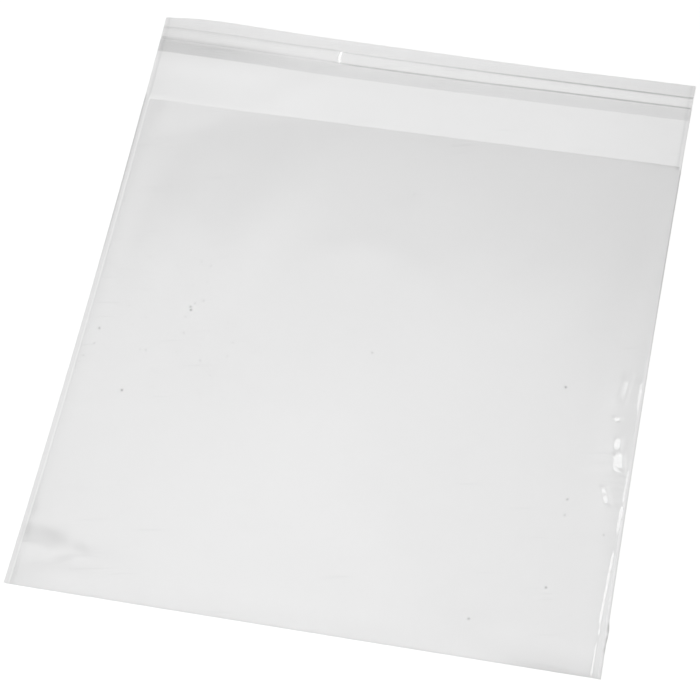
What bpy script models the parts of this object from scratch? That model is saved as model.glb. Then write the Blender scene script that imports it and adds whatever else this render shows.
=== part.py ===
"""A clear self-seal film bag, empty and lying flat on its back.

One rectangle of film is folded once, across its bottom. The two layers are welded together along both
sides, so they make a pouch that is open at the mouth. The back layer runs on past the mouth as the
flap. The flap carries a strip of adhesive, and a clear liner covers that strip until it is peeled off.

+X is across the bag, +Y runs from the bottom fold to the flap, and +Z is up from the surface under it.
The origin is at the middle of the bag's outline, on that surface. All sizes are in metres.
"""

import math

import bmesh
import bpy

# The bag's outline
BAG_WIDTH = 0.155
POUCH_DEPTH = 0.162
FLAP_LENGTH = 0.030

# The film, and how its two layers lie on each other
FILM_THICKNESS = 0.00004
LAYER_GAP = 0.00002
FOLD_LOOP = 0.0004
PUFF_HEIGHT = 0.0012
MOUTH_GAPE = 0.0003

# The welds down both sides. Each is a bead that wraps the cut edges of the film.
WELD_WIDTH = 0.0015
WELD_PROUD = 0.00002
WELD_LIP = 0.0001

# The adhesive strip and the liner over it, both measured from the flap's free edge
ADHESIVE_WIDTH = 0.004
ADHESIVE_INSET = 0.0046
ADHESIVE_THICKNESS = 0.00003
LINER_WIDTH = 0.0135
LINER_THICKNESS = 0.00004
BOND_CLEARANCE = 0.00001

# How finely the film is divided
COLUMNS = 32
FOLD_ROWS = 6
FRONT_ROWS = 30

# Shape of the puffed front layer: how soon it rises from its edges, as shares of the width and depth
EDGE_ROUNDNESS = 0.6
RISE_SHARE = 0.4
FALL_SHARE = 0.45

# Places that follow from the sizes above
FLAP_EDGE_Y = (POUCH_DEPTH + FLAP_LENGTH) / 2
BOTTOM_Y = FLAP_EDGE_Y - FLAP_LENGTH - POUCH_DEPTH
MOUTH_Y = FLAP_EDGE_Y - FLAP_LENGTH
FILM_WIDTH = BAG_WIDTH - 2 * WELD_LIP
OPEN_WIDTH = BAG_WIDTH - 2 * WELD_WIDTH
BACK_MIDDLE_Z = WELD_PROUD + FILM_THICKNESS / 2
WELD_THICKNESS = 2 * (WELD_PROUD + FILM_THICKNESS) + LAYER_GAP
FLAP_TOP_Z = WELD_PROUD + FILM_THICKNESS
ADHESIVE_BOTTOM_Z = FLAP_TOP_Z + BOND_CLEARANCE
LINER_BOTTOM_Z = ADHESIVE_BOTTOM_Z + ADHESIVE_THICKNESS + BOND_CLEARANCE

CLEAR_FILM = {"colour": (0.90, 0.90, 0.90), "roughness": 0.08, "alpha": 0.30}
TACKY_ADHESIVE = {"colour": (0.93, 0.93, 0.92), "roughness": 0.35, "alpha": 0.40}
CLEAR_LINER = {"colour": (0.88, 0.88, 0.88), "roughness": 0.12, "alpha": 0.35}


def clear_scene():
    for old in list(bpy.data.objects):
        bpy.data.objects.remove(old, do_unlink=True)


def new_collection(name):
    collection = bpy.data.collections.new(name)
    bpy.context.scene.collection.children.link(collection)
    return collection


def plastic(name, colour, roughness, alpha):
    """A clear plastic, as a Principled BSDF."""
    material = bpy.data.materials.new(name)
    material.use_nodes = True
    shader = material.node_tree.nodes["Principled BSDF"]
    shader.inputs["Base Color"].default_value = (*colour, 1.0)
    shader.inputs["Roughness"].default_value = roughness
    shader.inputs["Metallic"].default_value = 0.0
    shader.inputs["Alpha"].default_value = alpha
    return material


def new_object(name, mesh, collection, material=None):
    made = bpy.data.objects.new(name, mesh)
    collection.objects.link(made)
    if material:
        mesh.materials.append(material)
    return made


def box(name, size, centre, collection, material=None):
    """A box from Blender's cube, with its size in its mesh and its place in its location."""
    shape = bmesh.new()
    bmesh.ops.create_cube(shape, size=1.0)
    bmesh.ops.scale(shape, vec=size, verts=shape.verts)
    mesh = bpy.data.meshes.new(name)
    shape.to_mesh(mesh)
    shape.free()
    made = new_object(name, mesh, collection, material)
    made.location = centre
    return made


def bulge_across(x):
    """The front layer's rise across the bag: 0 at the welds and 1 in the middle."""
    share = min(1.0, abs(2 * x / OPEN_WIDTH))
    return (1 - share**2) ** EDGE_ROUNDNESS


def rise_along(depth):
    """The front layer's rise along the bag: 0 at the bottom fold, 1 in the middle, less at the mouth.

    depth is the share of the way from the fold to the mouth.
    """
    rise = math.sin(math.pi / 2 * min(1.0, depth / RISE_SHARE))
    fall = max(0.0, (depth - 1 + FALL_SHARE) / FALL_SHARE)
    kept = 1 - (1 - MOUTH_GAPE / PUFF_HEIGHT) * fall**2
    return rise * kept


def layer_distance(x, depth):
    """How far the front layer's middle is above the back layer's middle."""
    loop = FOLD_LOOP * (1 - depth)
    return FILM_THICKNESS + LAYER_GAP + bulge_across(x) * (loop + PUFF_HEIGHT * rise_along(depth))


def film_point(x, row):
    """Where the film's middle is, in its own row: 0 is the flap's edge, and the last is the mouth.

    The rows go down the back, round the bottom fold, and up the front.
    """
    fold_radius = layer_distance(x, 0.0) / 2
    fold_y = BOTTOM_Y + WELD_LIP + FILM_THICKNESS / 2 + fold_radius
    if row == 0:
        return x, FLAP_EDGE_Y, BACK_MIDDLE_Z
    if row <= 1 + FOLD_ROWS:
        turn = math.pi * (row - 1) / FOLD_ROWS
        y = fold_y - fold_radius * math.sin(turn)
        return x, y, BACK_MIDDLE_Z + fold_radius * (1 - math.cos(turn))
    depth = (row - 1 - FOLD_ROWS) / FRONT_ROWS
    y = fold_y + (MOUTH_Y - fold_y) * depth
    return x, y, BACK_MIDDLE_Z + layer_distance(x, depth)


def folded_sheet():
    """The film's middle surface: a flat grid, bent row by row."""
    rows = 1 + FOLD_ROWS + FRONT_ROWS
    shape = bmesh.new()
    bmesh.ops.create_grid(shape, x_segments=COLUMNS, y_segments=rows, size=0.5)
    for vertex in shape.verts:
        x = vertex.co.x * FILM_WIDTH
        row = round((vertex.co.y + 0.5) * rows)
        vertex.co = film_point(x, row)
    bmesh.ops.recalc_face_normals(shape, faces=shape.faces)
    mesh = bpy.data.meshes.new("film_pouch")
    shape.to_mesh(mesh)
    shape.free()
    mesh.shade_smooth()
    return mesh


def weld_bead(side, collection):
    """One side weld, as a bar that the film is joined to. side is -1 or 1."""
    length = MOUTH_Y + WELD_LIP - BOTTOM_Y
    bead = box(
        "left_weld" if side < 0 else "right_weld",
        (WELD_WIDTH, length, WELD_THICKNESS),
        (side * (BAG_WIDTH - WELD_WIDTH) / 2, BOTTOM_Y + length / 2, WELD_THICKNESS / 2),
        collection,
    )
    bead.hide_render = True
    bead.display_type = "WIRE"
    return bead


def film_pouch(bag, tools):
    """The film, given its thickness and welded down both sides."""
    film = new_object("film_pouch", folded_sheet(), bag, plastic("clear_film", **CLEAR_FILM))
    thickness = film.modifiers.new("film_thickness", "SOLIDIFY")
    thickness.thickness = FILM_THICKNESS
    thickness.offset = 0.0
    for side in (-1, 1):
        bead = weld_bead(side, tools)
        join = film.modifiers.new(bead.name, "BOOLEAN")
        join.operation = "UNION"
        join.object = bead
    return film


def adhesive_strip(bag):
    """The strip of adhesive across the flap."""
    return box(
        "adhesive_strip",
        (FILM_WIDTH, ADHESIVE_WIDTH, ADHESIVE_THICKNESS),
        (
            0,
            FLAP_EDGE_Y - ADHESIVE_INSET - ADHESIVE_WIDTH / 2,
            ADHESIVE_BOTTOM_Z + ADHESIVE_THICKNESS / 2,
        ),
        bag,
        plastic("tacky_adhesive", **TACKY_ADHESIVE),
    )


def release_liner(bag):
    """The peel-off liner, flush with the flap's free edge."""
    return box(
        "release_liner",
        (FILM_WIDTH, LINER_WIDTH, LINER_THICKNESS),
        (0, FLAP_EDGE_Y - LINER_WIDTH / 2, LINER_BOTTOM_Z + LINER_THICKNESS / 2),
        bag,
        plastic("clear_liner", **CLEAR_LINER),
    )


def main():
    clear_scene()
    bag = new_collection("film_bag")
    tools = new_collection("weld_tools")
    film_pouch(bag, tools)
    adhesive_strip(bag)
    release_liner(bag)


main()
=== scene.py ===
import math

import bmesh
import bpy
import numpy as np
from mathutils import Matrix, Vector


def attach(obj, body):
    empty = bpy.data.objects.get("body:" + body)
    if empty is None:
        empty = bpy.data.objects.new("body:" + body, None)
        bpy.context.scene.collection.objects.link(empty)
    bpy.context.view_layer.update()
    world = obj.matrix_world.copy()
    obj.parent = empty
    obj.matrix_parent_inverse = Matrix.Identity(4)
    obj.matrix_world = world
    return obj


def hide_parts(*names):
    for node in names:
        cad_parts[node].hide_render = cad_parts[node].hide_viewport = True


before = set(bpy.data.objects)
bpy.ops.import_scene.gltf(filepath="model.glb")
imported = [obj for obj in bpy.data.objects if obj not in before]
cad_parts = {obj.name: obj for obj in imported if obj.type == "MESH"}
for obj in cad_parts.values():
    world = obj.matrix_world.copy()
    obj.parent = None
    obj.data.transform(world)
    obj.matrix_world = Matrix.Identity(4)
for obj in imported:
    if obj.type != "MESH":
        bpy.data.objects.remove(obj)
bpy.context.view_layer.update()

# The film pouch: one sheet of clear packing film, folded across the bottom and welded down both sides.
# Its back layer runs on past the mouth as the flap. The welds are bands where the two layers are one,
# and the slack of the front layer leaves a low, uneven cushion of air.
MM = 0.001  # sizes are in millimetres until placed() turns them to metres
WIDTH = 155.0
LENGTH = 192.0
FILM = 0.04
WELD = 1.45
RIGHT_WELD = 0.6
WELD_SPREAD = 1.55  # how much further in the layers part at the right weld's foot
LEFT_DRAW, RIGHT_DRAW = 0.9, 0.6
CROWN = 1.2
GLEAM_STEP = 0.055
LAYERS_APART = 0.02
FOLD_START = 0.35
FOLD_BULGE = 0.33
FOLD_STEPS = 5
FLAP_ROWS = 27
SHARP = 50.0  # an edge between faces that turn by more degrees than this is sharp

# How much light each part of the film stops, and how rough its mirror is.
# The back layer is darker than the front where it lies on the bench: painted shade.
BACK_PAINTED_SHADE = 0.0525
FRONT_SHADE = 0.023
WELD_SHADE = 0.085
FILM_ROUGHNESS = 0.11

# For each millimetre that a point stands above the bench, the camera sees it this much further along and
# across the bench.
SEEN_ASLANT = 0.654
SEEN_ACROSS = -0.13


def spaced(stops):
    """Places along a line: each pair of stops (place, spacing) is filled evenly at about that spacing."""
    runs = []
    for (start, step), (end, _) in zip(stops[:-1], stops[1:]):
        runs.append(np.linspace(start, end, max(1, round((end - start) / step)), endpoint=False))
    return np.append(np.concatenate(runs), stops[-1][0])


def hill(across, along, middle, reach, height, turn=0.0):
    """A smooth hill: height times exp(-p^2 - q^2), with p and q the distances from its middle over its
    two reaches, along directions turned by turn degrees."""
    a, b = across - middle[0], along - middle[1]
    c, s = math.cos(math.radians(turn)), math.sin(math.radians(turn))
    return height * np.exp(-(((a * c + b * s) / reach[0]) ** 2) - ((b * c - a * s) / reach[1]) ** 2)


def plateau(across, along, middle, reach, height, turn=0.0):
    """The same as hill, with a flat top and steeper sides: height times exp(-p^4 - q^4)."""
    a, b = across - middle[0], along - middle[1]
    c, s = math.cos(math.radians(turn)), math.sin(math.radians(turn))
    return height * np.exp(-(((a * c + b * s) / reach[0]) ** 4) - ((b * c - a * s) / reach[1]) ** 4)


def facet(across, along, middle, reach, tilt, lean=0.0):
    """A small patch of even slope: tilt times the distance across from its middle, faded out by
    exp(-p^6 - q^6), with p and q the distances over its reaches. lean skews it along the bag."""
    a, b = across - middle[0] - lean * (along - middle[1]), along - middle[1]
    return tilt * a * np.exp(-((a / reach[0]) ** 6) - (b / reach[1]) ** 6)


def step_up(value, start, end):
    """0 before start and 1 after end, with the smooth curve 3t^2 - 2t^3 between."""
    t = np.clip((value - start) / (end - start), 0.0, 1.0)
    return t * t * (3.0 - 2.0 * t)


def between(value, start, end, soft):
    """1 between start and end and 0 outside, turning over a soft stretch at each."""
    rising = step_up(value, start - soft, start + soft)
    return rising * (1.0 - step_up(value, end - soft, end + soft))


def mouth_line(across):
    """Where the front layer ends: a straight edge, a little askew."""
    return 160.75 + 2.3 * (across / WIDTH) ** 1.4


def drawn_in(along, most):
    """How far a side edge is drawn in by its weld: a parabola along the bag, 0 at both ends."""
    share = along / LENGTH
    return most * 4.0 * share * (1.0 - share)


def top_line(across):
    """Where the flap ends: a cut edge that waves a little and runs up towards the right."""
    wave = 0.55 * np.exp(-(((across - 18.0) / 17.0) ** 2)) - 0.75 * np.exp(-((across / 6.0) ** 2))
    return 191.45 + 0.85 * step_up(across, 105.0, 158.0) + wave


def back_lift(across, along):
    """How high the back layer lies: flat, but for a low swell at the flap's left, a soft ridge that runs
    slantwise down from the kink in the liner, and a tip that lifts at an even slope."""
    swell = hill(across, along, (8.0, 176.5), (26.0, 4.5), 0.12)
    ridge = hill(across, along, (42.0, 170.0), (20.0, 5.0), 0.06, 40.0)
    tip = 0.016 * np.clip(along - 183.5, 0.0, None)
    return (swell + ridge + tip) * step_up(along, 150.0, 163.0)


# The slack front layer's hills and dents: middle (across, along), reach along two axes, height, turn.
SWELLS = (
    ((4.4, 11.5), (19.8, 3.8), -0.40, -3.9),
    ((11.6, 134.8), (7.8, 24.0), -0.274, -11.7),
    ((40.6, 125.0), (8.8, 22.4), 0.242, -13.7),
    ((98.5, 119.6), (21.5, 10.0), 0.107, 45.9),
    ((98.7, 18.6), (12.8, 65.9), 0.165, -140.0),
    ((68.0, 4.6), (110.0, 3.1), 0.083, 1.7),
    ((-2.9, 74.3), (5.6, 70.4), 0.40, -1.9),
    ((155.8, 140.6), (10.0, 38.2), -0.30, -10.5),
    ((19.0, 118.8), (30.8, 12.3), 0.264, -46.8),
    ((138.4, 6.7), (25.9, 6.5), -0.399, -3.5),
    ((125.8, 114.5), (16.0, 40.4), 0.351, -47.2),
    ((33.2, 86.6), (26.4, 39.6), -0.40, -11.0),
    ((9.1, 164.9), (22.0, 13.2), -0.40, -14.4),
    ((111.7, 72.0), (35.0, 66.0), -0.40, 28.3),
    ((6.0, 15.6), (5.0, 2.2), -0.12, -6.0),
    ((150.0, 70.0), (4.5, 22.0), 0.16, 0.0),
)
# The puckers beside the right weld that catch the lamp: middle, reach, tilt, lean.
PUCKERS = (
    ((149.2, 87.0), (1.8, 4.8), -0.065, 0.10),
    ((148.7, 77.2), (1.4, 0.8), -0.105, 0.35),
    ((149.9, 69.6), (1.4, 1.7), -0.090, 0.0),
    ((150.9, 64.0), (2.0, 2.8), -0.105, -0.14),
    ((148.8, 53.6), (1.35, 3.0), -0.110, -0.36),
)
# The stretches of the right weld that catch the lamp: start and end along the bag, and how strongly.
GLEAMS = ((-5.0, 11.0, 1.0), (12.2, 14.7, 1.0), (15.6, 37.0, 1.0), (43.0, 46.6, 1.0), (47.2, 50.8, 1.1),
          (81.5, 90.0, 0.85))
BEADS = (52.0, 63.0, 2.1)


def parted_by(across, along):
    """How far a place is from where the layers part. On the right that runs in from the side towards
    the fold."""
    parting = RIGHT_WELD + WELD_SPREAD * (1.0 - step_up(along, 4.0, 62.0))
    return np.clip(np.where(across < WIDTH / 2, across - WELD, WIDTH - across - parting), 0.0, None)


def weld_gleam(across, along):
    """A steep little step beside the right weld, 1 - exp(-(d/reach)^2) high, that catches the lamp along
    some stretches. It fades out again towards the middle of the bag."""
    parted = parted_by(across, along)
    gleam = sum(strength * between(along, start, end, 0.4) for start, end, strength in GLEAMS)
    start, end, pitch = BEADS
    beads = (0.5 + 0.5 * np.sin(2.0 * np.pi * along / pitch)) ** 2
    gleam = gleam + 1.25 * beads * between(along, start, end, 0.8)
    gleam = gleam * (across > WIDTH / 2) * GLEAM_STEP * (1.0 - np.exp(-((parted / 0.52) ** 2)))
    return gleam * np.exp(-((parted / 7.0) ** 2))


def arc_crease(across, along):
    """The soft crease that arches over the middle: below a parabola's two sides the layer falls away at
    an even slope, 0.011 times the distance, rounded at the top and faded out by a hill."""
    away = along - (120.3 - 12.3 * ((across - 74.2) / 22.0) ** 2)
    return -0.011 * (np.sqrt(away**2 + 0.5) - 0.7) * hill(across, away, (74.2, 0.0), (17.0, 25.5), 1.0)


def side_crease(across, along):
    """The soft crease up the left side, from the middle of the bag to the mouth, of the same form."""
    away = across - (10.7 + 10.8 * np.clip((along - 110.0) / 50.0, 0.0, 1.2) ** 1.68)
    return -0.015 * (np.sqrt(away**2 + 1.0) - 1.0) * hill(away, along, (0.0, 140.0), (13.1, 49.8), 1.0)


def ripples(across, along):
    """Low waves a few millimetres long, from three crossing sine waves."""
    wave = np.sin(0.83 * across + 0.41 * along) + np.sin(0.37 * across - 0.78 * along + 1.3)
    return 0.0011 * (wave + np.sin(0.29 * across + 1.07 * along + 0.7))


def front_lift(across, along):
    """How high the front layer stands over the back layer: a crown that falls to the side welds by a
    power of the distance and rises in a sine from the fold, with hills, dents and puckers on it. Beside
    a weld it rises by 1 - exp(-d/reach). Where all that comes out near nothing, the layer settles on the
    one below it. The mouth's left corner stands up at an even slope."""
    inside = np.clip(np.minimum(across - WELD, WIDTH - RIGHT_WELD - across), 0.0, None)
    share = np.clip(inside / (WIDTH / 2 - WELD), 0.0, 1.0)
    depth = np.clip(along / mouth_line(across), 0.0, 1.0)
    fall = np.clip((depth - 0.3) / 0.7, 0.0, 1.0)
    crown = CROWN * (1.0 - (1.0 - share) ** 1.3) * np.sin(np.pi / 2 * depth) * (1.0 - 0.93 * fall**2)
    held = np.where(across < WIDTH / 2, 1.0 - np.exp(-inside / 2.5), 1.0 - np.exp(-((inside / 5.0) ** 2)))
    held = held * (1.0 - np.exp(-along / 3.0))
    hills = sum(hill(across, along, *swell) for swell in SWELLS)
    hills = hills + arc_crease(across, along) + side_crease(across, along)
    tilts = sum(facet(across, along, *pucker) for pucker in PUCKERS)
    risen = 0.22 * (1.0 - np.exp(-parted_by(across, along) / 4.0))
    height = crown + risen + held * (hills + ripples(across, along)) + tilts
    settled = 0.5 * (height + np.sqrt(height**2 + 0.05**2))
    corner = 0.020 * np.clip(along - 145.5 - 0.46 * across, 0.0, None)
    corner = corner * (1.0 - step_up(across, 20.0, 34.0))
    return settled + weld_gleam(across, along) + corner * step_up(across, WELD, 8.0)


def placed(across, along, height):
    """Points in metres in the bag's frame, from millimetres across, along and up. The sides draw in."""
    left, right = drawn_in(along, LEFT_DRAW), WIDTH - drawn_in(along, RIGHT_DRAW)
    right = right + 0.25 * np.exp(-(((along - 13.5) / 2.5) ** 2))
    x = left + (right - left) * across / WIDTH - WIDTH / 2
    return np.stack([x, along - LENGTH / 2, height], -1) * MM


def strips(grid):
    """The four-sided faces between neighbouring rows and columns of a grid of point numbers."""
    corners = [grid[:-1, :-1], grid[:-1, 1:], grid[1:, 1:], grid[1:, :-1]]
    return np.stack(corners, -1).reshape(-1, 4).tolist()


def made_mesh(name, points, faces, shares):
    """A smooth closed mesh from points and faces, its normals outward. shares holds one value for each
    point under a name, for the material. Points that no face uses are left out."""
    used = np.unique(np.concatenate([np.asarray(f) for f in faces]))
    new_number = np.full(len(points), -1)
    new_number[used] = np.arange(len(used))
    mesh = bpy.data.meshes.new(name)
    mesh.from_pydata(points[used].tolist(), [], [new_number[f].tolist() for f in faces])
    for label, values in shares.items():
        layer = mesh.attributes.new(label, "FLOAT", "POINT")
        layer.data.foreach_set("value", values[used].astype(np.float32))
    turned = bmesh.new()
    turned.from_mesh(mesh)
    bmesh.ops.recalc_face_normals(turned, faces=turned.faces)
    turned.to_mesh(mesh)
    turned.free()
    mesh.shade_smooth()
    mesh.set_sharp_from_angle(angle=math.radians(SHARP))
    return mesh


def pouch_mesh():
    """One closed skin. Outside, it runs down the back, round the fold and up the front. Inside, the
    cavity's two faces meet in a line along each weld, and the mouth's lip joins inside and outside. The
    outer front faces come first, and take the second material."""
    columns = spaced([(0.0, 0.25), (1.0, 0.225), (WELD, 0.2), (3.0, 0.8), (10.0, 1.4), (30.0, 2.0),
                      (142.0, 0.8), (146.4, 0.27), (152.0, 0.2), (WIDTH - RIGHT_WELD, 0.2), (WIDTH, 0.2)])
    depths = spaced([(0.0, 0.005), (0.12, 0.009), (0.27, 0.0042), (0.46, 0.0021),
                     (0.49, 0.0042), (0.58, 0.009), (1.0, 0.009)])
    open_part = np.flatnonzero((columns > WELD - 1e-6) & (columns < WIDTH - RIGHT_WELD + 1e-6))
    across, depth = np.meshgrid(columns, depths)
    along = FOLD_START + depth * (mouth_line(across) - FOLD_START)
    flap_across, share = np.meshgrid(columns, np.linspace(0.0, 1.0, FLAP_ROWS)[1:])
    flap_along = mouth_line(flap_across) + share * (top_line(flap_across) - mouth_line(flap_across))
    full_across, full_along = np.vstack([across, flap_across]), np.vstack([along, flap_along])
    rows, wide = across.shape
    under = LAYERS_APART + back_lift(full_across, full_along)
    lift = LAYERS_APART + front_lift(across, along)
    points, places = [], []

    def numbered(x, y, z):
        start = sum(len(p) for p in points)
        points.append(placed(x, y, z).reshape(-1, 3))
        places.append(np.stack([x, y], -1).reshape(-1, 2))
        return start + np.arange(x.size).reshape(x.shape)

    back = numbered(full_across, full_along, under)
    inner = numbered(full_across, full_along, under + FILM)
    cavity = numbered(across, along, under[:rows] + FILM + lift)
    top = numbered(across, along, under[:rows] + 2 * FILM + lift)
    turn = np.pi * np.arange(1, FOLD_STEPS)[:, None] / FOLD_STEPS
    half = (2 * FILM + lift[:1]) / 2
    reach = np.minimum(half, FOLD_BULGE) * np.sin(turn)
    fold = numbered(across[:1] + 0 * turn, along[:1] - reach, under[:1] + half * (1 - np.cos(turn)))

    seams = open_part[[0, -1]]
    cavity[:, seams] = inner[:rows, seams]
    inside_back, inside_front = inner[:rows, open_part], cavity[:, open_part]
    end = np.vstack([inside_back[:1], inside_front[:1]])
    faces = strips(top)
    outer = len(faces)
    faces += strips(back) + strips(np.vstack([back[:1], fold, top[:1]]))
    faces += strips(inside_back) + strips(inside_front) + strips(end[:, 1:-1])
    faces += [[end[0, 0], end[0, 1], end[1, 1]], [end[0, -1], end[0, -2], end[1, -2]]]
    faces += strips(inner[rows - 1:]) + strips(np.vstack([top[-1:, open_part], inside_front[-1:]]))
    faces += strips(np.vstack([inner[-1:], back[-1:]]))
    for band in (np.arange(seams[0] + 1), np.arange(seams[1], wide)):
        faces += strips(np.vstack([top[-1:, band], inner[rows - 1:rows, band]]))
    for side in (0, wide - 1):
        faces += strips(np.stack([back[:rows - 1, side], top[:-1, side]], 1))
        faces += strips(np.stack([back[rows - 1:, side], inner[rows - 1:, side]], 1))
        faces.append([back[rows - 2, side], back[rows - 1, side], inner[rows - 1, side],
                      top[-1, side], top[-2, side]])
        faces.append([back[0, side], *fold[:, side], top[0, side]])
    place = np.concatenate(places)
    front = np.zeros(len(place))
    front[np.unique(np.concatenate([cavity.ravel(), top.ravel()]))] = 1.0
    shares = film_shares(place[:, 0], place[:, 1], front)
    mesh = made_mesh("film_bag", np.concatenate(points), faces, shares)
    second = np.arange(len(mesh.polygons)) < outer
    mesh.polygons.foreach_set("material_index", second.astype(np.int32))
    return mesh


# Painted shade in plateaus on the front layer: the crumpled patches near the bottom corners, along the
# foot of the left edge and along the fold at the bottom right.
PAINTED_SHADE_PATCHES = (
    ((6.5, 15.6), (5.6, 2.9), 0.030, -4.0),
    ((1.9, 16.4), (1.3, 2.2), 0.018, 0.0),
    ((11.0, 16.0), (2.4, 1.4), 0.004, -40.0),
    ((17.2, 13.9), (2.5, 1.3), 0.014, -28.0),
    ((13.4, 10.0), (2.7, 1.1), 0.018, 22.0),
    ((2.0, 23.6), (1.2, 1.8), 0.010, 0.0),
    ((4.0, 5.5), (6.0, 4.5), 0.006, 0.0),
    ((1.6, 10.0), (1.2, 22.0), 0.016, 0.0),
    ((146.0, 1.0), (14.0, 4.0), 0.014, -6.0),
    ((143.0, 0.3), (14.0, 1.0), 0.020, 0.0),
)


def nick(across, along):
    """Three thick beads in the cut edge, at the foot of the right weld."""
    beads = between(along, 13.8, 16.3, 0.4) + between(along, 11.0, 12.6, 0.4)
    beads = beads + 0.7 * between(along, 8.2, 9.9, 0.4)
    return np.exp(-(((WIDTH - across) / 0.4) ** 2)) * beads


def film_shares(across, along, front):
    """What the film's material needs to know at each point. shade is how much darker each place is: the
    welds and the cut edges, and painted shade on the back layer where it lies on the bench, towards the
    flap's ends and in the crumpled patches. bonded is 1 where the adhesive wets the flap."""
    from_side = np.minimum(across, WIDTH - across)
    in_weld = 1.0 - step_up(from_side, 0.8 * RIGHT_WELD, RIGHT_WELD)
    in_weld = np.where(across < WIDTH / 2, 1.0 - step_up(from_side, WELD - 0.3, WELD), in_weld)
    on_flap = step_up(along, 161.0, 163.0)
    upper = step_up(along, 90.0, 130.0) * (1.0 - on_flap)
    bead = np.exp(-(((from_side - 0.15) / 0.3) ** 2)) * (0.06 * upper + 0.02 * (across > WIDTH / 2))
    shade = BACK_PAINTED_SHADE + (FRONT_SHADE - BACK_PAINTED_SHADE) * front
    shade += (WELD_SHADE - shade) * in_weld * (1.0 - on_flap) + bead
    shade += 0.030 * np.exp(-(((from_side - 1.2) / 0.35) ** 2)) * on_flap
    # The flap is a little darker all over, and more so towards its left edge and its right end: painted
    # shade.
    shade += on_flap * (0.003 + 0.008 * np.exp(-(((across - 10.0) / 12.0) ** 2)))
    shade += on_flap * (0.012 * np.exp(-((across / 5.0) ** 2)) + 0.008 * step_up(across, 120.0, 155.0))
    shade += 0.12 * nick(across, along)
    # Painted shade in the crumpled patches and along the fold.
    shade += front * sum(plateau(across, along, *shaded_patch) for shaded_patch in PAINTED_SHADE_PATCHES)
    return {"shade": shade, "bonded": (1.0 - front) * glued(across, along)}


def glue_lines(across):
    """Where the adhesive's lower and upper edges run: both wave a little, and climb to the right."""
    lower = np.interp(across, (0.0, 40.0, 50.0, 56.0, 95.0, 115.0, 155.0),
                      (183.0, 182.85, 182.85, 182.5, 182.7, 183.2, 183.85))
    upper = np.interp(across, (0.0, 20.0, 40.0, 50.0, 56.0, 100.0, 155.0),
                      (187.7, 187.9, 187.5, 187.65, 187.2, 187.4, 188.15))
    return lower, upper


def glued(across, along):
    """1 inside the adhesive's edges and 0 outside, turning over a fifth of a millimetre."""
    lower, upper = glue_lines(across)
    return step_up(along, lower - 0.1, lower + 0.1) * (1.0 - step_up(along, upper - 0.1, upper + 0.1))


class Wiring:
    """Builds a material's nodes: each call adds one node, sets or links its inputs, and gives one of its
    outputs."""

    def __init__(self, name):
        self.material = bpy.data.materials.new(name)
        self.material.use_nodes = True
        self.tree = self.material.node_tree
        self.tree.nodes.clear()

    def add(self, kind, *values, out=0, **settings):
        node = self.tree.nodes.new(kind)
        for setting, value in settings.items():
            setattr(node, setting, value)
        for place, value in enumerate(values):
            if isinstance(value, bpy.types.NodeSocket):
                self.tree.links.new(value, node.inputs[place])
            elif value is not None:
                node.inputs[place].default_value = value
        return node.outputs[out]

    def maths(self, operation, *values):
        return self.add("ShaderNodeMath", *values, operation=operation)

    def attribute(self, label):
        return self.add("ShaderNodeAttribute", out=2, attribute_name=label)

    def finish(self, shader):
        self.tree.links.new(shader, self.tree.nodes.new("ShaderNodeOutputMaterial").inputs["Surface"])
        return self.material


# Grit on the front layer, where the camera sees it: across, along, and how much light it stops.
GRIT = (
    (28.4, 92.6, 0.23), (28.7, 91.7, 0.27), (80.4, 86.7, 0.14), (133.8, 85.0, 0.29), (16.0, 63.1, 0.24),
    (5.3, 81.5, 0.17), (119.4, 11.5, 0.16), (137.6, 23.9, 0.20), (139.3, 50.7, 0.15),
    (139.3, 45.9, 0.095), (82.4, 140.6, 0.11), (42.2, 151.8, 0.09), (150.2, 41.9, 0.09),
)
GRIT_SIZE = (0.15, 0.55)


def dust(w, place):
    """How much light the dust stops: each grain of GRIT fades out over GRIT_SIZE, and faint grains lie
    about in the cells of a random pattern, most of them at the left of the bag's middle."""
    flat = w.add("ShaderNodeVectorMath", place, (1.0, 1.0, 0.0), operation="MULTIPLY")
    middle = placed(*np.array([[28.0], [86.0], [0.0]]))[0]
    from_middle = w.add("ShaderNodeVectorMath", flat, tuple(middle), out=1, operation="DISTANCE")
    cells = w.tree.nodes.new("ShaderNodeTexVoronoi")
    cells.voronoi_dimensions = "2D"
    cells.inputs["Scale"].default_value = 170.0
    w.tree.links.new(flat, cells.inputs["Vector"])
    grain = w.add("ShaderNodeMapRange", cells.outputs["Distance"], 0.02, 0.07, 1.0, 0.0)
    some = w.maths("GREATER_THAN", cells.outputs["Color"], 0.55)
    total = w.maths("MULTIPLY", grain, w.maths("MULTIPLY", some, 0.10))
    total = w.maths("MULTIPLY", total, w.add("ShaderNodeMapRange", from_middle, 0.022, 0.045, 1.0, 0.25))
    for across, along, dark in GRIT:
        x, y = np.array([across]), np.array([along])
        high = LAYERS_APART + 2 * FILM + front_lift(x, y)
        spot = placed(x - SEEN_ACROSS * high, y - SEEN_ASLANT * high, 0.0 * x)[0]
        away = w.add("ShaderNodeVectorMath", flat, tuple(spot), out=1, operation="DISTANCE")
        total = w.maths("MAXIMUM", total, w.add("ShaderNodeMapRange", away, GRIT_SIZE[0] * MM,
                                                GRIT_SIZE[1] * MM, dark, 0.0))
    return total


def scuffs(w, place):
    """Faint scuffs, drawn out slantwise across the bag: how much light they stop."""
    drawn = w.add("ShaderNodeMapping", place, None, (0.0, 0.0, math.radians(11.0)),
                  (1 / 60, 1 / 1100, 1.0), vector_type="TEXTURE")
    noise = w.add("ShaderNodeTexNoise", drawn, None, 1.0, 1.0)
    return w.add("ShaderNodeMapRange", noise, 0.65, 0.74, 0.0, 0.008)


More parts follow.
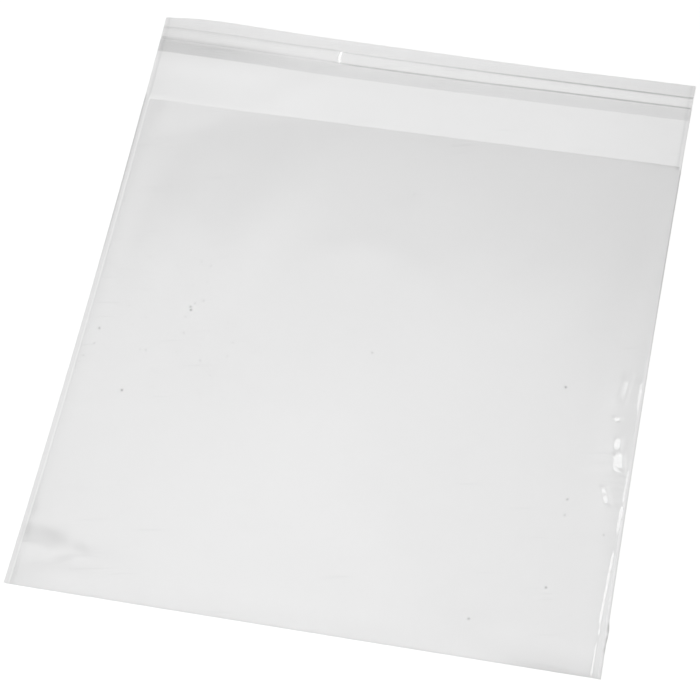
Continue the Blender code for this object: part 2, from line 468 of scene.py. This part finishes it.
def drawn_lines(w, place):
    """The relief of the fine lines that the film was drawn out with, for the mirror."""
    lined = w.add("ShaderNodeMapping", place, None, (0.0, 0.0, math.radians(4.0)), (1 / 22, 1 / 650, 1.0),
                  vector_type="TEXTURE")
    bump = w.tree.nodes.new("ShaderNodeBump")
    bump.inputs["Distance"].default_value = 0.006 * MM
    w.tree.links.new(w.add("ShaderNodeTexNoise", lined, None, 1.0, 1.0), bump.inputs["Height"])
    return bump.outputs["Normal"]


def clear_film(name, roughness, outside, crease_highlight):
    """Clear film: light goes straight through, and each face mirrors some of the room: 0.04 of it head
    on, and more at a slant, by 0.04 + 0.96 times the fifth power of the slant. Where the film has
    buckled, a white diffuse mix stands in for its glint: a painted highlight. The outside face also has
    dust and the drawn lines' relief. Its shadow leaves the fine detail out."""
    w = Wiring(name)
    slant = w.add("ShaderNodeLayerWeight", 0.5, out=1)
    mirror = w.maths("MULTIPLY_ADD", w.maths("POWER", slant, 5.0), 0.96, 0.04)
    mirror = w.maths("MULTIPLY", mirror, w.maths("SUBTRACT", 1.0, w.attribute("bonded")))
    shade = w.attribute("shade")
    let_by = w.maths("MULTIPLY", w.maths("SUBTRACT", 1.0, shade), w.maths("SUBTRACT", 1.0, mirror))
    shadow = w.add("ShaderNodeBsdfTransparent", w.add("ShaderNodeCombineColor", let_by, let_by, let_by))
    place = w.add("ShaderNodeTexCoord", out=3)
    stopped = w.maths("ADD", shade, scuffs(w, place))
    if outside:
        stopped = w.maths("ADD", stopped, dust(w, place))
    clear = w.maths("SUBTRACT", 1.0, stopped)
    through = w.add("ShaderNodeBsdfTransparent", w.add("ShaderNodeCombineColor", clear, clear, clear))
    gloss = w.tree.nodes.new("ShaderNodeBsdfGlossy")
    gloss.inputs["Color"].default_value = (1.0, 1.0, 1.0, 1.0)
    gloss.inputs["Roughness"].default_value = roughness
    if outside:
        w.tree.links.new(drawn_lines(w, place), gloss.inputs["Normal"])
    film = w.add("ShaderNodeMixShader", mirror, through, gloss.outputs[0])
    if crease_highlight:
        film = w.add("ShaderNodeMixShader", w.attribute("white"), film,
                     w.add("ShaderNodeBsdfDiffuse", (1.0, 1.0, 1.0, 1.0)))
    return w.finish(w.add("ShaderNodeMixShader", w.add("ShaderNodeLightPath", out=1), film, shadow))


pouch = bpy.data.objects.new("film_bag", pouch_mesh())
bpy.context.scene.collection.objects.link(pouch)
pouch.data.materials.append(clear_film("packing_film", FILM_ROUGHNESS, False, False))
pouch.data.materials.append(clear_film("dusty_film", FILM_ROUGHNESS, True, False))
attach(pouch, "root")
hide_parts("film_pouch")

# The adhesive strip: a line of clear tacky glue across the flap, laid down wet and left to set. Light
# goes straight through it; along its two edges, painted shade draws a dark line each.
GLUE = 0.025
GLUE_LIFT = 0.008  # so small a gap that it can't be seen, but the glue doesn't cut into the flap


def sheet_mesh(name, across, along, low, high, shares):
    """A thin closed sheet: one grid of points at two heights, with the rims joined all round."""
    points = np.concatenate([placed(across, along, z).reshape(-1, 3) for z in (low, high)])
    under = np.arange(across.size).reshape(across.shape)
    over = under + across.size
    rims = [np.concatenate([g[0], g[1:, -1], g[-1, -2::-1], g[-2::-1, 0]]) for g in (under, over)]
    return made_mesh(name, points, strips(under) + strips(over) + strips(np.stack(rims)), shares)


def flap_top(across, along):
    """How high the flap's upper face is."""
    return LAYERS_APART + FILM + back_lift(across, along)


def strip_mesh():
    """The strip between its two wavy edges, with fine rows along both, where painted shade draws the dark
    lines.
    """
    columns = spaced([(0.2, 1.2), (45.0, 0.3), (60.0, 1.2), (WIDTH - 0.2, 1.2)])
    shares = spaced([(0.0, 0.025), (0.3, 0.08), (0.7, 0.025), (1.0, 0.025)])
    across, share = np.meshgrid(columns, shares)
    lower, upper = glue_lines(across)
    along = lower + share * (upper - lower)
    along -= SEEN_ASLANT * back_lift(across, along)
    base = flap_top(across, along) + GLUE_LIFT
    width = upper - lower
    # The dark lines along both edges: painted shade, darker towards the right.
    painted_low_line = np.interp(across, (0.0, 25.0, 38.0, 50.0, 58.0, 95.0, 128.0, 155.0),
                         (0.05, 0.05, 0.03, 0.03, 0.10, 0.10, 0.14, 0.12))
    painted_high_line = np.interp(across, (0.0, 20.0, 45.0, 56.0, 70.0, 90.0, 110.0, 130.0, 155.0),
                          (0.02, 0.03, 0.04, 0.04, 0.05, 0.08, 0.11, 0.15, 0.13))
    soft = 0.32 + 0.55 * (1.0 - step_up(across, 26.0, 56.0))
    low_edge = np.exp(-(((share * width - 0.25) / soft) ** 2))
    high_edge = np.exp(-((((1.0 - share) * width - 0.25) / soft) ** 2))
    shade = painted_low_line * low_edge + painted_high_line * high_edge
    shade = np.concatenate([shade.ravel(), shade.ravel()])
    return sheet_mesh("adhesive", across, along, base, base + GLUE, {"shade": shade})


def clear_glue(name):
    """Clear glue between two films: no mirror of its own, as both films wet it, and a little haze."""
    w = Wiring(name)
    clear = w.maths("SUBTRACT", 1.0, w.attribute("shade"))
    colour = w.add("ShaderNodeCombineColor", clear, clear, clear)
    haze = w.add("ShaderNodeBsdfDiffuse", (0.93, 0.93, 0.92, 1.0))
    return w.finish(w.add("ShaderNodeMixShader", 0.03, w.add("ShaderNodeBsdfTransparent", colour), haze))


glue = bpy.data.objects.new("adhesive", strip_mesh())
bpy.context.scene.collection.objects.link(glue)
glue.data.materials.append(clear_glue("tacky_glue"))
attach(glue, "root")
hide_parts("adhesive_strip")

# The release liner: a strip of clear film over the adhesive, cut flush with the flap's end. Its lower
# edge is free and stands off the flap a little, more on the left, and it has buckled at one place.
LINER = 0.04
LINER_LIFT = 0.005
KINK = 52.6


def liner_line(across):
    """Where the liner's lower edge runs: a shallow parabola that climbs to the right."""
    return 177.65 + 1.9 * (across / WIDTH) ** 2 + 0.35 * (1.0 - step_up(across, 30.0, 52.0))


def liner_mesh():
    """The liner lies on the glue, and lifts off the flap by the square of the distance from it."""
    columns = spaced([(0.15, 1.2), (48.0, 0.15), (56.0, 1.2), (WIDTH - 0.15, 1.2)])
    across, share = np.meshgrid(columns, np.linspace(0.0, 1.0, 56))
    along = liner_line(across) + share * (top_line(across) - 0.1 - liner_line(across))
    lower, upper = glue_lines(across)
    below = np.clip((lower - along) / (lower - liner_line(across)), 0.0, 1.0)
    above = np.clip((along - upper) / (top_line(across) - upper), 0.0, 1.0)
    left = 1.0 - step_up(across, 12.0, 48.0)
    loose = 0.10 + 0.25 * left
    buckle = np.exp(-(((across - KINK - 0.09 * (along - 185.2) ** 2) / 0.27) ** 2))
    buckle = 0.85 * buckle * between(along, 183.1, 187.1, 0.4)
    base = flap_top(across, along) + GLUE_LIFT + GLUE + LINER_LIFT
    base = base + loose * below**2 + 0.05 * above**2 + 0.012 * buckle
    bonded = np.concatenate([glued(across, along).ravel(), np.zeros(across.size)])
    # Painted shade: the liner is darker on its left, under its free edge and towards the glue, where it
    # stands off the flap.
    near = np.exp(-((np.clip(lower - along, 0.0, None) / 1.7) ** 2)) * (along < lower)
    painted_gap_shade = 0.02 * np.minimum(below * 4.0, 1.0) + 0.014 * near + 0.01 * glued(across, along)
    shade = 0.004 + left * painted_gap_shade
    shade = np.concatenate([shade.ravel(), shade.ravel()])
    # The buckle also gets a white diffuse mix, a painted highlight for its glint.
    white = np.concatenate([buckle.ravel(), buckle.ravel()])
    shares = {"bonded": bonded, "shade": shade, "white": white}
    return sheet_mesh("liner", across, along, base, base + LINER, shares)


liner = bpy.data.objects.new("liner", liner_mesh())
bpy.context.scene.collection.objects.link(liner)
liner.data.materials.append(clear_film("liner_film", FILM_ROUGHNESS, False, True))
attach(liner, "root")
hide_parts("release_liner")

# The bench under the bag: a plain pale sheet, white to the camera, that keeps the bag's shadow. It is
# there for the picture only.
bench = bpy.data.objects.new("bench", bpy.data.meshes.new("bench"))
bench.data.from_pydata([(-4, -4, 0), (4, -4, 0), (4, 4, 0), (-4, 4, 0)], [], [(0, 1, 2, 3)])
bpy.context.scene.collection.objects.link(bench)
w = Wiring("bench_white")
seen = w.tree.nodes.new("ShaderNodeLightPath")
direct = w.maths("ADD", w.maths("ADD", seen.outputs["Is Camera Ray"], seen.outputs["Is Glossy Ray"]),
                 seen.outputs["Is Transmission Ray"])
glow = w.add("ShaderNodeEmission", (1.0, 1.0, 1.0, 1.0), w.maths("MULTIPLY", direct, 0.12))
matt = w.add("ShaderNodeBsdfDiffuse", (0.95, 0.95, 0.95, 1.0))
bench.data.materials.append(w.finish(w.add("ShaderNodeAddShader", matt, glow)))

# The light: an even room, brighter overhead in front and round the horizon and darker up behind, and two
# soft lamps.
room = bpy.data.worlds.new("room")
bpy.context.scene.world = room
room.use_nodes = True
room.node_tree.nodes.clear()


class RoomWiring(Wiring):
    """The same for the room, which has its own nodes."""

    def __init__(self, world):
        self.tree = world.node_tree


w = RoomWiring(room)
way = w.add("ShaderNodeTexCoord", out=0)


def toward(direction):
    """How closely a direction points to another one: the cosine of the angle between them."""
    unit = Vector(direction).normalized()
    return w.add("ShaderNodeVectorMath", way, tuple(unit), out=1, operation="DOT_PRODUCT")


def glow_around(direction, reach, amount):
    """A round patch of the room that is brighter or darker: amount times exp of minus (1 - cosine) over
    (1 - cosine of its reach in degrees)."""
    spread = 1.0 - math.cos(math.radians(reach))
    fade = w.maths("EXPONENT", w.maths("DIVIDE", w.maths("SUBTRACT", toward(direction), 1.0), spread))
    return w.maths("MULTIPLY", fade, amount)


level = w.maths("ADD", 0.25, glow_around((-0.139, 0.593, 1.0), 11.3, 1.86))
level = w.maths("ADD", level, glow_around((-0.103, 1.203, 1.0), 23.6, -1.36))
height = w.add("ShaderNodeSeparateXYZ", way, out=2)
low = w.maths("POWER", w.maths("SUBTRACT", 1.0, w.maths("ABSOLUTE", height)), 2.0)
level = w.maths("MULTIPLY_ADD", low, 0.6, w.maths("MAXIMUM", level, 0.02))
w.tree.links.new(w.add("ShaderNodeBackground", (1.0, 1.0, 1.0, 1.0), level),
                 w.tree.nodes.new("ShaderNodeOutputWorld").inputs["Surface"])


def soft_lamp(name, place, aim, size, power):
    """A rectangular lamp that faces a point."""
    lamp = bpy.data.lights.new(name, "AREA")
    lamp.shape, lamp.size, lamp.size_y, lamp.energy = "RECTANGLE", size[0], size[1], power
    holder = bpy.data.objects.new(name, lamp)
    holder.location = place
    holder.rotation_euler = (Vector(aim) - Vector(place)).to_track_quat("-Z", "Y").to_euler()
    bpy.context.scene.collection.objects.link(holder)


soft_lamp("left_lamp", (-1.8, -2.2, 2.6), (0.0, 0.0, 0.0), (1.8, 1.8), 147.4)
soft_lamp("right_lamp", (0.285, 0.53, 1.0), (0.285, 0.53, 0.0), (0.20, 0.28), 0.62)

# The camera, where the photograph was taken from.
AZIMUTH, ELEVATION, ROLL = math.radians(12.127), math.radians(56.782), math.radians(-1.640)
back = Vector((math.sin(AZIMUTH) * math.cos(ELEVATION), -math.cos(AZIMUTH) * math.cos(ELEVATION),
               math.sin(ELEVATION)))
level_right = Vector((math.cos(AZIMUTH), math.sin(AZIMUTH), 0.0))
level_up = back.cross(level_right)
right = math.cos(ROLL) * level_right + math.sin(ROLL) * level_up
up = back.cross(right)
camera = bpy.data.objects.new("camera", bpy.data.cameras.new("camera"))
camera.data.lens, camera.data.sensor_width = 153.21, 36.0
camera.data.clip_start, camera.data.clip_end = 0.01, 50.0
turned = Matrix((right, up, back)).transposed().to_4x4()
camera.matrix_world = Matrix.Translation((0.08949, -0.44019, 0.67270)) @ turned
bpy.context.scene.collection.objects.link(camera)
bpy.context.scene.camera = camera
bpy.context.scene.view_settings.view_transform = "Standard"
bpy.context.scene.cycles.transparent_max_bounces = 24
